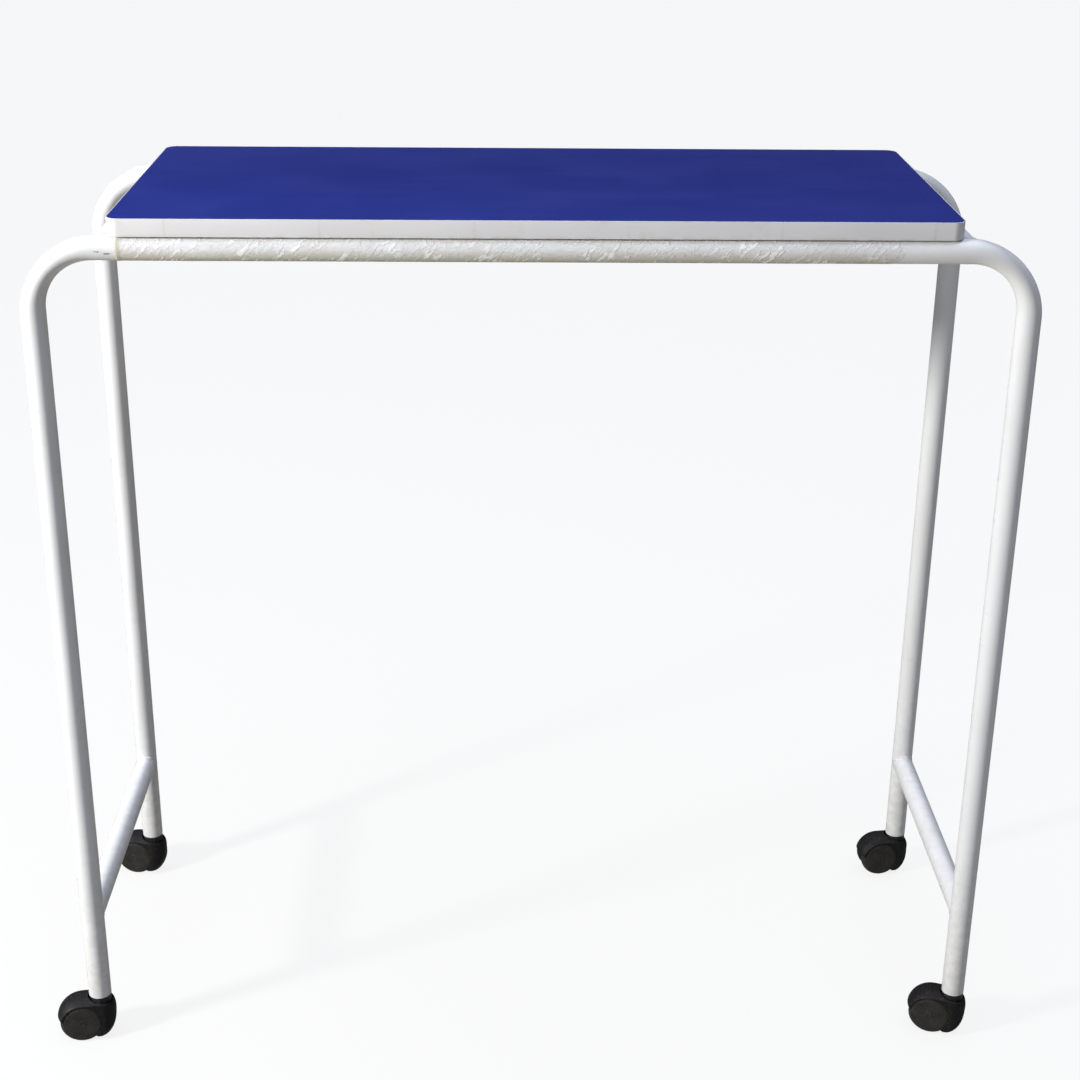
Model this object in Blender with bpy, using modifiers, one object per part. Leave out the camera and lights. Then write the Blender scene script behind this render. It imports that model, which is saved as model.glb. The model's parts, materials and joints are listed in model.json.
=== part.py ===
"""Overbed table: two bent tube frames joined by tubes, a laminated board on top and four twin-wheel castors.

Metres, +Z up. X runs along the table, -Y is its front, and the origin lies on the floor under its middle.
"""

import math

import bmesh
import bpy
from mathutils import Matrix, Vector

OBJECT_NAME = "overbed_table"
GAP = 0.0003  # left between pieces that touch
SHARP_ANGLE = math.radians(35)
PIVOT_SIZE = 0.02
WELD_DISTANCE = 0.00001  # vertices closer than this are one

# Tube frame
TUBE_RADIUS = 0.0127
TUBE_WALL = 0.0012
TUBE_BEVEL_RESOLUTION = 6  # gives a tube of 16 sides
LEG_SPAN = 0.9906  # between the axes of the left and right legs
FRAME_SPACING = 0.348  # between the planes of the front and rear frames
FRAME_SHIFT = 0.0155  # the castors trail to -X, so the frame stands this far to +X of the origin
RAIL_HEIGHT = 0.933  # axis of the top rails
LEG_END = 0.056
BEND_RADIUS = 0.066
BEND_STEPS = 6
BEND_FLATTENING = 0.12  # how much a tube narrows in the plane of its bend
BEND_WIDENING = 0.03
STRETCHER_HEIGHT = 0.164

# Board
BOARD_LENGTH = 0.839
BOARD_DEPTH = 0.371
BOARD_SHIFT_X = 0.003  # the board sits this far off the frame's middle
BOARD_CORNER = 0.013
CORNER_STEPS = 5
BOARD_BOTTOM = RAIL_HEIGHT + TUBE_RADIUS + GAP
BOARD_THICKNESS = 0.0178
BACKING_THICKNESS = 0.0007
LAMINATE_THICKNESS = 0.0009
BAND_THICKNESS = 0.0006
CROSS_TUBE_SPAN = 0.850  # between the axes of the two cross tubes
RAIL_COPE_EXTRA = 0.0007  # the cross tubes meet the rails where the bends begin, so their copes are wider

# Film left on the front rail
FILM_START = -0.408
FILM_END = 0.385
FILM_THICKNESS = 0.00035
FILM_OPENING = math.radians(28)  # half of the angle that the board keeps clear at the top
FILM_STEPS = 16

# Fixing screws
SCREW_SPREAD = 0.300  # from the board's middle to each screw
SCREW_SHANK_RADIUS = 0.002
SCREW_HEAD_RADIUS = 0.004
SCREW_HEAD_HEIGHT = 0.0024
SCREW_HEAD_TAPER = 0.7
SCREW_DEPTH_IN_CORE = 0.0105
CLEARANCE_HOLE_RADIUS = 0.0024
ACCESS_HOLE_RADIUS = 0.0045
HOLE_STEPS = 12

# Castor, in its own frame: the stem is the Z axis and the wheels trail to -X
WHEEL_RADIUS = 0.025
WHEEL_TRAIL = 0.022
WHEEL_INNER_FACE = 0.0070
WHEEL_STEPS = 28
WHEEL_CLEARANCE = 0.0007  # between a wheel and the hood round it
AXLE_RADIUS = 0.003
AXLE_HALF_LENGTH = 0.0146
BORE_CLEARANCE = 0.0004
HOOD_HALF_WIDTH = 0.0166
HOOD_NOSE_RADIUS = 0.0170
NOSE_STEPS = 16
HOOD_WEB_HALF_WIDTH = 0.0064
HOOD_WEB_RADIUS = 0.019
HOOD_CROWN = 0.17  # how much the outline shrinks from the middle of the hood to its sides
HOOD_CROWN_POWER = 2.6
HOOD_OUTLINE_STEPS = 40
HOOD_SECTIONS = 8
HOOD_REAR_LIP = (-0.050, 0.032)
HOOD_FRONT_LIP = (0.004, 0.001)
CUTTER_REACH = 0.08  # longer than any part of a castor
POCKET_RADIUS = 0.0142
POCKET_FLOOR = 0.0445
STEM_RADIUS = 0.004
STEM_BOTTOM = 0.027
STEM_TOP = 0.088
STEM_BEVEL = 0.001
COLLAR_RADIUS = 0.008
COLLAR_THICKNESS = 0.0013
WASHER_THICKNESS = 0.0009
INSERT_RADIUS = 0.0110
INSERT_BEVEL = 0.002
INSERT_FLANGE_RADIUS = 0.0125
INSERT_FLANGE_THICKNESS = 0.0081
INSERT_TOP = 0.092
SMALL_STEPS = 12

# Wheel seen in section: radius and distance from the castor's middle plane, from its face to its tread
WHEEL_SECTION = [
    (0.0175, 0.0170),
    (0.0205, 0.0163),
    (0.0226, 0.0151),
    (0.0240, 0.0136),
    (0.0248, 0.0118),
    (0.0250, 0.0100),
    (0.0250, 0.0080),
]
WHEEL_OUTER_FACE = 0.0172
WHEEL_BEVEL = 0.001

# Hood outline seen from the side: angle about the axle in degrees from +X, and radius in metres
HOOD_OUTLINE = [
    (-52, 0.0290),
    (-40, 0.0340),
    (-27, 0.0362),
    (-10, 0.0374),
    (6, 0.0386),
    (21, 0.0410),
    (31, 0.0420),
    (42, 0.0402),
    (54, 0.0358),
    (66, 0.0318),
    (80, 0.0295),
    (100, 0.0289),
    (240, 0.0289),
]

HALF_SPAN = LEG_SPAN / 2
HALF_SPACING = FRAME_SPACING / 2
AXLE_HEIGHT = WHEEL_RADIUS

# Which way each castor stands: the turn of its trail from -X towards -Y, in degrees
CASTORS = {
    "front_left": (-HALF_SPAN, -HALF_SPACING, 8.0),
    "front_right": (HALF_SPAN, -HALF_SPACING, -20.0),
    "rear_left": (-HALF_SPAN, HALF_SPACING, -10.0),
    "rear_right": (HALF_SPAN, HALF_SPACING, 7.0),
}


def clear_scene():
    for obj in list(bpy.data.objects):
        bpy.data.objects.remove(obj, do_unlink=True)


def new_collection(name):
    collection = bpy.data.collections.new(name)
    bpy.context.scene.collection.children.link(collection)
    return collection


def new_material(name, colour, roughness, metallic=0.0):
    material = bpy.data.materials.new(name)
    material.use_nodes = True
    shader = material.node_tree.nodes["Principled BSDF"]
    shader.inputs["Base Color"].default_value = (*colour, 1.0)
    shader.inputs["Roughness"].default_value = roughness
    shader.inputs["Metallic"].default_value = metallic
    material.diffuse_color = (*colour, 1.0)
    return material


clear_scene()
PARTS = new_collection(OBJECT_NAME)
CUTTERS = new_collection(OBJECT_NAME + "_cutters")

WHITE_COAT = new_material("white_powder_coat", (0.86, 0.87, 0.87), 0.35)
BLUE_LAMINATE = new_material("blue_laminate", (0.032, 0.052, 0.27), 0.4)
WHITE_EDGE = new_material("white_edge_band", (0.72, 0.72, 0.72), 0.45)
BOARD_CORE = new_material("particle_board", (0.45, 0.33, 0.2), 0.9)
BACKING_SHEET = new_material("white_backing", (0.7, 0.7, 0.68), 0.6)
PACKING_FILM = new_material("packing_film", (0.5, 0.47, 0.36), 0.3)
ZINC_STEEL = new_material("zinc_plated_steel", (0.6, 0.6, 0.6), 0.35, 1.0)
BLACK_NYLON = new_material("black_nylon", (0.012, 0.012, 0.013), 0.4)
BLACK_WHEEL = new_material("black_wheel_nylon", (0.02, 0.02, 0.02), 0.5)
INSERT_NYLON = new_material("insert_nylon", (0.03, 0.03, 0.03), 0.55)


def place(name, mesh, material, collection=PARTS, location=(0, 0, 0), parent=None):
    """A new object, smooth except at its sharp edges."""
    obj = bpy.data.objects.new(name, mesh)
    collection.objects.link(obj)
    if material:
        mesh.materials.clear()
        mesh.materials.append(material)
    if mesh.polygons:
        mesh.shade_smooth()
        mesh.set_sharp_from_angle(angle=SHARP_ANGLE)
    obj.location = location
    obj.parent = parent
    return obj


def pivot(name, location, parent=None, turn=0.0):
    """An empty on a joint's axis."""
    empty = bpy.data.objects.new(name, None)
    PARTS.objects.link(empty)
    empty.empty_display_size = PIVOT_SIZE
    empty.location = location
    empty.rotation_euler.z = turn
    empty.parent = parent
    return empty


def mesh_of_curve(curve, name):
    """The curve's surface as a mesh, with its loose caps welded."""
    helper = bpy.data.objects.new(name + "_curve", curve)
    PARTS.objects.link(helper)
    bpy.context.view_layer.update()
    graph = bpy.context.evaluated_depsgraph_get()
    mesh = bpy.data.meshes.new_from_object(helper.evaluated_get(graph))
    bpy.data.objects.remove(helper, do_unlink=True)
    work = bmesh.new()
    work.from_mesh(mesh)
    bmesh.ops.remove_doubles(work, verts=work.verts, dist=WELD_DISTANCE)
    work.to_mesh(mesh)
    work.free()
    mesh.name = name
    return mesh


def poly_curve(name, outlines, cyclic):
    curve = bpy.data.curves.new(name, "CURVE")
    for outline in outlines:
        spline = curve.splines.new("POLY")
        spline.points.add(len(outline) - 1)
        for point, (x, y, z) in zip(spline.points, outline):
            point.co = (x, y, z, 1.0)
        spline.use_cyclic_u = cyclic
    return curve


def hollow_tube(name, path):
    """A thin-walled tube, open at both ends, along a path."""
    curve = poly_curve(name, [path], cyclic=False)
    curve.dimensions = "3D"
    curve.bevel_depth = TUBE_RADIUS
    curve.bevel_resolution = TUBE_BEVEL_RESOLUTION
    obj = place(name, mesh_of_curve(curve, name), WHITE_COAT)
    wall = obj.modifiers.new("wall", "SOLIDIFY")
    wall.thickness = TUBE_WALL
    wall.offset = -1
    wall.use_even_offset = True
    return obj


def flat_mesh(name, outlines, thickness):
    """A plate about the XY plane: its outlines, the first around the others, given a thickness along Z."""
    curve = poly_curve(name, outlines, cyclic=True)
    curve.dimensions = "2D"
    curve.fill_mode = "BOTH"
    curve.extrude = thickness / 2
    mesh = mesh_of_curve(curve, name)
    work = bmesh.new()
    work.from_mesh(mesh)
    bmesh.ops.recalc_face_normals(work, faces=work.faces)
    work.to_mesh(mesh)
    work.free()
    return mesh


def rounded_rectangle(length, depth, radius):
    points = []
    for quarter, (side_x, side_y) in enumerate([(1, 1), (-1, 1), (-1, -1), (1, -1)]):
        centre = Vector((side_x * (length / 2 - radius), side_y * (depth / 2 - radius), 0))
        for step in range(CORNER_STEPS + 1):
            angle = math.radians(90 * (quarter + step / CORNER_STEPS))
            points.append(centre + radius * Vector((math.cos(angle), math.sin(angle), 0)))
    return points


def turned(name, profile, steps, material, collection=PARTS, location=(0, 0, 0), parent=None, closed=False):
    """A turned piece: (radius, height) points that run down its outer side, spun about Z."""
    mesh = bpy.data.meshes.new(name)
    count = len(profile)
    edges = [(i, i + 1) for i in range(count - 1)]
    if closed:
        edges.append((count - 1, 0))
    mesh.from_pydata([(radius, 0, height) for radius, height in profile], edges, [])
    obj = place(name, mesh, material, collection=collection, location=location, parent=parent)
    spin = obj.modifiers.new("turn", "SCREW")
    spin.steps = steps
    spin.render_steps = steps
    spin.use_merge_vertices = True
    spin.merge_threshold = WELD_DISTANCE
    spin.use_smooth_shade = True
    return obj


def cylinder_cutter(name, radius, length, centre, axis="Z", steps=24):
    turns = {
        "X": Matrix.Rotation(math.pi / 2, 4, "Y"),
        "Y": Matrix.Rotation(math.pi / 2, 4, "X"),
        "Z": Matrix(),
    }
    work = bmesh.new()
    bmesh.ops.create_cone(
        work,
        cap_ends=True,
        segments=steps,
        radius1=radius,
        radius2=radius,
        depth=length,
        matrix=turns[axis],
    )
    return cutter_of(work, name, centre)


def cutter_of(work, name, centre=(0, 0, 0)):
    mesh = bpy.data.meshes.new(name)
    work.to_mesh(mesh)
    work.free()
    return as_cutter(place(name, mesh, None, collection=CUTTERS, location=centre))


def as_cutter(obj):
    obj.hide_render = True
    obj.display_type = "WIRE"
    return obj


def join(obj, other, operation="DIFFERENCE"):
    boolean = obj.modifiers.new(other.name, "BOOLEAN")
    boolean.operation = operation
    boolean.object = other
    boolean.solver = "EXACT"


def frame_path(y):
    """One inverted U: up the left leg, along the rail and down the right leg."""
    left = FRAME_SHIFT - HALF_SPAN
    right = FRAME_SHIFT + HALF_SPAN
    path = [(left, y, LEG_END)]
    for side, centre_x in ((-1, left + BEND_RADIUS), (1, right - BEND_RADIUS)):
        bend = []
        for step in range(BEND_STEPS + 1):
            angle = math.pi / 2 * step / BEND_STEPS
            x = centre_x + side * BEND_RADIUS * math.cos(angle)
            z = RAIL_HEIGHT - BEND_RADIUS + BEND_RADIUS * math.sin(angle)
            bend.append((x, y, z))
        path += bend if side < 0 else bend[::-1]
    path.append((right, y, LEG_END))
    return path


def flatten_bends(mesh, y):
    """Bending squeezes a tube in the plane of the bend, most at the middle of it."""
    for vertex in mesh.vertices:
        side = math.copysign(1, vertex.co.x - FRAME_SHIFT)
        centre_x = FRAME_SHIFT + side * (HALF_SPAN - BEND_RADIUS)
        out = side * (vertex.co.x - centre_x)
        up = vertex.co.z - (RAIL_HEIGHT - BEND_RADIUS)
        if out <= 0 or up <= 0:
            continue
        angle = math.atan2(up, out)
        squeeze = math.sin(2 * angle)
        from_axis = math.hypot(out, up) - BEND_RADIUS
        radius = BEND_RADIUS + from_axis * (1 - BEND_FLATTENING * squeeze)
        vertex.co.x = centre_x + side * radius * math.cos(angle)
        vertex.co.z = RAIL_HEIGHT - BEND_RADIUS + radius * math.sin(angle)
        vertex.co.y = y + (vertex.co.y - y) * (1 + BEND_WIDENING * squeeze)


def make_frames():
    for name, y in (("front_frame", -HALF_SPACING), ("rear_frame", HALF_SPACING)):
        frame = hollow_tube(name, frame_path(y))
        flatten_bends(frame.data, y)
        for label, x in (("left", -SCREW_SPREAD), ("right", SCREW_SPREAD)):
            x += FRAME_SHIFT + BOARD_SHIFT_X
            low = (x, y, RAIL_HEIGHT - TUBE_RADIUS)
            high = (x, y, RAIL_HEIGHT + TUBE_RADIUS)
            for kind, radius, centre in (
                ("access", ACCESS_HOLE_RADIUS, low),
                ("clearance", CLEARANCE_HOLE_RADIUS, high),
            ):
                hole = f"{name}_{label}_{kind}_hole"
                join(frame, cylinder_cutter(hole, radius, TUBE_RADIUS, centre, steps=HOLE_STEPS))


def make_joining_tubes():
    """Tubes from front to rear, their ends coped to fit round the frames."""
    reach = HALF_SPACING - TUBE_RADIUS / 3
    cope_length = 4 * TUBE_RADIUS
    leg_cope_radius = TUBE_RADIUS + GAP
    rail_cope_radius = leg_cope_radius + RAIL_COPE_EXTRA
    board_x = FRAME_SHIFT + BOARD_SHIFT_X
    for side, sign in (("left", -1), ("right", 1)):
        leg_x = FRAME_SHIFT + sign * HALF_SPAN
        cross_x = board_x + sign * CROSS_TUBE_SPAN / 2
        stretcher_path = [(leg_x, -reach, STRETCHER_HEIGHT), (leg_x, reach, STRETCHER_HEIGHT)]
        cross_path = [(cross_x, -reach, RAIL_HEIGHT), (cross_x, reach, RAIL_HEIGHT)]
        stretcher = hollow_tube(f"{side}_stretcher", stretcher_path)
        cross = hollow_tube(f"{side}_cross_tube", cross_path)
        for end, y in (("front", -HALF_SPACING), ("rear", HALF_SPACING)):
            leg_point = (leg_x, y, STRETCHER_HEIGHT)
            rail_point = (cross_x, y, RAIL_HEIGHT)
            place_name = f"{side}_{end}"
            leg_cope = cylinder_cutter(place_name + "_leg_cope", leg_cope_radius, cope_length, leg_point)
            rail_cope = cylinder_cutter(
                place_name + "_rail_cope", rail_cope_radius, cope_length, rail_point, axis="X"
            )
            join(stretcher, leg_cope)
            join(cross, rail_cope)


def make_board():
    x = FRAME_SHIFT + BOARD_SHIFT_X
    inset = 2 * (BAND_THICKNESS + GAP)
    outer = rounded_rectangle(BOARD_LENGTH, BOARD_DEPTH, BOARD_CORNER)
    band_inner = rounded_rectangle(
        BOARD_LENGTH - 2 * BAND_THICKNESS, BOARD_DEPTH - 2 * BAND_THICKNESS, BOARD_CORNER - BAND_THICKNESS
    )
    inner = rounded_rectangle(BOARD_LENGTH - inset, BOARD_DEPTH - inset, BOARD_CORNER - inset / 2)
    top = BOARD_BOTTOM + BOARD_THICKNESS
    core_bottom = BOARD_BOTTOM + BACKING_THICKNESS + GAP
    core_thickness = BOARD_THICKNESS - BACKING_THICKNESS - LAMINATE_THICKNESS - 2 * GAP
    layers = [
        ("tabletop_edge_band", [outer, band_inner], WHITE_EDGE, BOARD_BOTTOM, BOARD_THICKNESS),
        ("tabletop_backing", [inner], BACKING_SHEET, BOARD_BOTTOM, BACKING_THICKNESS),
        ("tabletop_core", [inner], BOARD_CORE, core_bottom, core_thickness),
        ("tabletop_laminate", [inner], BLUE_LAMINATE, top - LAMINATE_THICKNESS, LAMINATE_THICKNESS),
    ]
    made = {}
    for name, outlines, material, bottom, thickness in layers:
        mesh = flat_mesh(name, outlines, thickness)
        made[name] = place(name, mesh, material, location=(x, 0, bottom + thickness / 2))
    return made["tabletop_backing"], made["tabletop_core"], core_bottom


def make_screws(backing, core, core_bottom):
    """Pan-head screws that sit inside the rails and reach up into the board."""
    head_reach = math.sqrt((TUBE_RADIUS - TUBE_WALL) ** 2 - SCREW_HEAD_RADIUS**2)
    head_top = RAIL_HEIGHT + head_reach - 2 * GAP
    shank_top = core_bottom + SCREW_DEPTH_IN_CORE
    tip = SCREW_SHANK_RADIUS
    profile = [
        (0, shank_top - head_top + tip),
        (SCREW_SHANK_RADIUS, shank_top - head_top),
        (SCREW_SHANK_RADIUS, 0),
        (SCREW_HEAD_RADIUS, 0),
        (SCREW_HEAD_RADIUS, -SCREW_HEAD_HEIGHT / 2),
        (SCREW_HEAD_RADIUS * SCREW_HEAD_TAPER, -SCREW_HEAD_HEIGHT),
        (0, -SCREW_HEAD_HEIGHT),
    ]
    for end, y in (("front", -HALF_SPACING), ("rear", HALF_SPACING)):
        for side, sign in (("left", -1), ("right", 1)):
            x = FRAME_SHIFT + BOARD_SHIFT_X + sign * SCREW_SPREAD
            name = f"{end}_{side}_board_screw"
            turned(name, profile, SMALL_STEPS, ZINC_STEEL, location=(x, y, head_top))
            pilot_length = 2 * (shank_top + tip + GAP - BOARD_BOTTOM)
            pilot = cylinder_cutter(
                name + "_pilot", CLEARANCE_HOLE_RADIUS, pilot_length, (x, y, BOARD_BOTTOM), steps=HOLE_STEPS
            )
            join(backing, pilot)
            join(core, pilot)


def make_film():
    """The packing film round the front rail, open where the board rests."""
    inner = TUBE_RADIUS + GAP
    arc = []
    for step in range(FILM_STEPS + 1):
        angle = FILM_OPENING + (2 * math.pi - 2 * FILM_OPENING) * step / FILM_STEPS
        arc.append(Vector((math.sin(angle), math.cos(angle), 0)))
    outline = [inner * way for way in arc] + [(inner + FILM_THICKNESS) * way for way in reversed(arc)]
    mesh = flat_mesh("front_rail_film", [outline], FILM_END - FILM_START)
    mesh.transform(Matrix.Rotation(math.pi / 2, 4, "Z") @ Matrix.Rotation(math.pi / 2, 4, "X"))
    middle = FRAME_SHIFT + (FILM_START + FILM_END) / 2
    place("front_rail_film", mesh, PACKING_FILM, location=(middle, -HALF_SPACING, RAIL_HEIGHT))


def hood_radius(angle):
    """The hood's outline as a smooth radius about the axle; the angle is in degrees."""
    first = HOOD_OUTLINE[0]
    before_last, last = HOOD_OUTLINE[-2:]
    turn = 360
    if angle > last[0]:
        angle -= turn
    knots = [(before_last[0] - turn, before_last[1]), (last[0] - turn, last[1]), *HOOD_OUTLINE]
    knots.append((first[0] + turn, first[1]))
    for before, low, high, after in zip(knots, knots[1:], knots[2:], knots[3:]):
        if low[0] <= angle <= high[0]:
            span = high[0] - low[0]
            share = (angle - low[0]) / span
            start_slope = (high[1] - before[1]) / (high[0] - before[0]) * span
            end_slope = (after[1] - low[1]) / (after[0] - low[0]) * span
            rise = high[1] - low[1]
            square = 3 * rise - 2 * start_slope - end_slope
            cube = start_slope + end_slope - 2 * rise
            return low[1] + share * (start_slope + share * (square + share * cube))
    return last[1]


def hood_blank():
    """The hood's outline carried across its width, shrinking towards the sides like a barrel."""
    work = bmesh.new()
    rings = []
    for section in range(HOOD_SECTIONS + 1):
        across = 2 * section / HOOD_SECTIONS - 1
        scale = 1 - HOOD_CROWN * abs(across) ** HOOD_CROWN_POWER
        ring = []
        for step in range(HOOD_OUTLINE_STEPS):
            angle = 360 * step / HOOD_OUTLINE_STEPS
            radius = scale * hood_radius(angle)
            x = radius * math.cos(math.radians(angle)) - WHEEL_TRAIL
            z = radius * math.sin(math.radians(angle)) + AXLE_HEIGHT
            ring.append(work.verts.new((x, across * HOOD_HALF_WIDTH, z)))
        rings.append(ring)
    for ring, following in zip(rings, rings[1:]):
        for i in range(HOOD_OUTLINE_STEPS):
            j = (i + 1) % HOOD_OUTLINE_STEPS
            work.faces.new((ring[i], ring[j], following[j], following[i]))
    work.faces.new(rings[0])
    work.faces.new(rings[-1])
    bmesh.ops.recalc_face_normals(work, faces=work.faces)
    return work


def plan_prism():
    """The hood's plan outline as an upright prism: round about the stem, straight along the wheels."""
    outline = [(-CUTTER_REACH, -HOOD_NOSE_RADIUS), (-CUTTER_REACH, HOOD_NOSE_RADIUS)]
    for step in range(NOSE_STEPS + 1):
        angle = math.pi / 2 - math.pi * step / NOSE_STEPS
        outline.append((HOOD_NOSE_RADIUS * math.cos(angle), HOOD_NOSE_RADIUS * math.sin(angle)))
    work = bmesh.new()
    base = work.faces.new([work.verts.new((x, y, -CUTTER_REACH)) for x, y in outline])
    raised = bmesh.ops.extrude_face_region(work, geom=[base])["geom"]
    lifted = [v for v in raised if isinstance(v, bmesh.types.BMVert)]
    bmesh.ops.translate(work, verts=lifted, vec=(0, 0, 2 * CUTTER_REACH))
    bmesh.ops.recalc_face_normals(work, faces=work.faces)
    return work


def lip_wedge():
    """A block below the slanting line of the hood's lower edge."""
    rear = Vector((HOOD_REAR_LIP[0], 0, HOOD_REAR_LIP[1]))
    front = Vector((HOOD_FRONT_LIP[0], 0, HOOD_FRONT_LIP[1]))
    along = (front - rear).normalized()
    slope = math.atan2(-along.z, along.x)
    down = Vector((-math.sin(slope), 0, -math.cos(slope)))
    work = bmesh.new()
    bmesh.ops.create_cube(work, size=2 * CUTTER_REACH)
    work.transform(Matrix.Translation((rear + front) / 2) @ Matrix.Rotation(slope, 4, "Y"))
    bmesh.ops.translate(work, verts=work.verts, vec=down * CUTTER_REACH)
    return work


def wheel_cavity(side, turn_out):
    """The space of one wheel and the clearance round it, open to the side."""
    bore = WHEEL_SECTION[0][0]
    profile = [(0, CUTTER_REACH), (bore + WHEEL_CLEARANCE, CUTTER_REACH)]
    profile += [(radius + WHEEL_CLEARANCE, across) for radius, across in WHEEL_SECTION]
    profile += [(WHEEL_RADIUS + WHEEL_CLEARANCE, HOOD_WEB_HALF_WIDTH), (0, HOOD_WEB_HALF_WIDTH)]
    cavity = turned(
        f"{side}_wheel_cavity",
        profile,
        WHEEL_STEPS,
        None,
        collection=CUTTERS,
        location=(-WHEEL_TRAIL, 0, AXLE_HEIGHT),
    )
    cavity.rotation_euler.x = turn_out
    return as_cutter(cavity)


def hood_cutters():
    """Everything that shapes the hood, in the order of use."""
    axle = (-WHEEL_TRAIL, 0, AXLE_HEIGHT)
    web = cylinder_cutter("hood_web", HOOD_WEB_RADIUS, 2 * HOOD_WEB_HALF_WIDTH, axle, "Y")
    pocket_centre = (0, 0, POCKET_FLOOR + CUTTER_REACH / 2)
    pocket = cylinder_cutter("hood_pocket", POCKET_RADIUS, CUTTER_REACH, pocket_centre)
    bore_bottom = STEM_BOTTOM - STEM_BEVEL
    bore_centre = (0, 0, bore_bottom + CUTTER_REACH / 2)
    bore = cylinder_cutter("hood_stem_bore", STEM_RADIUS + BORE_CLEARANCE, CUTTER_REACH, bore_centre)
    axle_bore = cylinder_cutter("hood_axle_bore", AXLE_RADIUS + BORE_CLEARANCE, CUTTER_REACH, axle, "Y")
    return [
        (cutter_of(plan_prism(), "hood_plan"), "INTERSECT"),
        (wheel_cavity("front", math.pi / 2), "DIFFERENCE"),
        (wheel_cavity("rear", -math.pi / 2), "DIFFERENCE"),
        (cutter_of(lip_wedge(), "hood_lip"), "DIFFERENCE"),
        (web, "UNION"),
        (pocket, "DIFFERENCE"),
        (bore, "DIFFERENCE"),
        (axle_bore, "DIFFERENCE"),
    ]


def hood_mesh():
    """One hood, made once and shared by the four castors."""
    mesh = bpy.data.meshes.new("castor_hood_blank")
    work = hood_blank()
    work.to_mesh(mesh)
    work.free()
    blank = place("castor_hood_blank", mesh, None)
    for cutter, operation in hood_cutters():
        join(blank, cutter, operation)
    bpy.context.view_layer.update()
    graph = bpy.context.evaluated_depsgraph_get()
    finished = bpy.data.meshes.new_from_object(blank.evaluated_get(graph))
    bpy.data.objects.remove(blank, do_unlink=True)
    finished.name = "castor_hood"
    return finished


def wheel_profile():
    bore = AXLE_RADIUS + GAP
    bore_end = AXLE_HALF_LENGTH + GAP
    return [
        (0, WHEEL_OUTER_FACE),
        *WHEEL_SECTION,
        (WHEEL_RADIUS - WHEEL_BEVEL, WHEEL_INNER_FACE),
        (bore, WHEEL_INNER_FACE),
        (bore, bore_end),
        (0, bore_end),
    ]


def stem_profile(collar_bottom):
    radius = STEM_RADIUS
    return [
        (0, STEM_TOP),
        (radius - STEM_BEVEL, STEM_TOP),
        (radius, STEM_TOP - STEM_BEVEL),
        (radius, collar_bottom + COLLAR_THICKNESS),
        (COLLAR_RADIUS, collar_bottom + COLLAR_THICKNESS),
        (COLLAR_RADIUS, collar_bottom),
        (radius, collar_bottom),
        (radius, STEM_BOTTOM + STEM_BEVEL),
        (radius - STEM_BEVEL, STEM_BOTTOM),
        (0, STEM_BOTTOM),
    ]


def insert_profile(flange_bottom):
    flange_top = flange_bottom + INSERT_FLANGE_THICKNESS
    bore = STEM_RADIUS + GAP
    return [
        (bore, INSERT_TOP),
        (INSERT_RADIUS - INSERT_BEVEL, INSERT_TOP),
        (INSERT_RADIUS, INSERT_TOP - INSERT_BEVEL),
        (INSERT_RADIUS, flange_top),
        (INSERT_FLANGE_RADIUS, flange_top),
        (INSERT_FLANGE_RADIUS, flange_bottom),
        (bore, flange_bottom),
    ]


def make_castor(corner, x, y, turn, hood):
    """One castor: insert and stem stay with the leg, the hood swivels and each wheel rolls."""
    place_name = f"{corner}_castor"
    swivel = pivot(place_name + "_swivel", (FRAME_SHIFT + x, y, 0), turn=math.radians(turn))
    axle_pivot = pivot(place_name + "_axle_line", (-WHEEL_TRAIL, 0, AXLE_HEIGHT), parent=swivel)
    washer_bottom = POCKET_FLOOR + GAP
    washer_top = washer_bottom + WASHER_THICKNESS
    collar_bottom = washer_top + GAP
    flange_bottom = collar_bottom + COLLAR_THICKNESS + GAP
    bore = STEM_RADIUS + GAP
    washer = [
        (bore, washer_top),
        (COLLAR_RADIUS, washer_top),
        (COLLAR_RADIUS, washer_bottom),
        (bore, washer_bottom),
    ]
    insert = insert_profile(flange_bottom)
    turned(place_name + "_insert", insert, SMALL_STEPS, INSERT_NYLON, parent=swivel, closed=True)
    turned(place_name + "_stem", stem_profile(collar_bottom), SMALL_STEPS, ZINC_STEEL, parent=swivel)
    turned(place_name + "_washer", washer, SMALL_STEPS, INSERT_NYLON, parent=swivel, closed=True)
    place(place_name + "_hood", hood, BLACK_NYLON, parent=swivel)
    rod = [
        (0, AXLE_HALF_LENGTH),
        (AXLE_RADIUS, AXLE_HALF_LENGTH),
        (AXLE_RADIUS, -AXLE_HALF_LENGTH),
        (0, -AXLE_HALF_LENGTH),
    ]
    axle = turned(place_name + "_axle", rod, SMALL_STEPS, ZINC_STEEL, parent=axle_pivot)
    axle.rotation_euler.x = math.pi / 2
    for side, turn_out in (("front", math.pi / 2), ("rear", -math.pi / 2)):
        wheel = turned(
            f"{place_name}_{side}_wheel", wheel_profile(), WHEEL_STEPS, BLACK_WHEEL, parent=axle_pivot
        )
        wheel.rotation_euler.x = turn_out


def main():
    make_frames()
    make_joining_tubes()
    make_screws(*make_board())
    make_film()
    hood = hood_mesh()
    for corner, (x, y, turn) in CASTORS.items():
        make_castor(corner, x, y, turn, hood)


main()
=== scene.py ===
"""The overbed table as it looks: smooth welded tubes, laminated board, creased film and moulded castors."""

import json
import math

import bmesh
import bpy
from mathutils import Matrix, Vector, noise


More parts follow.
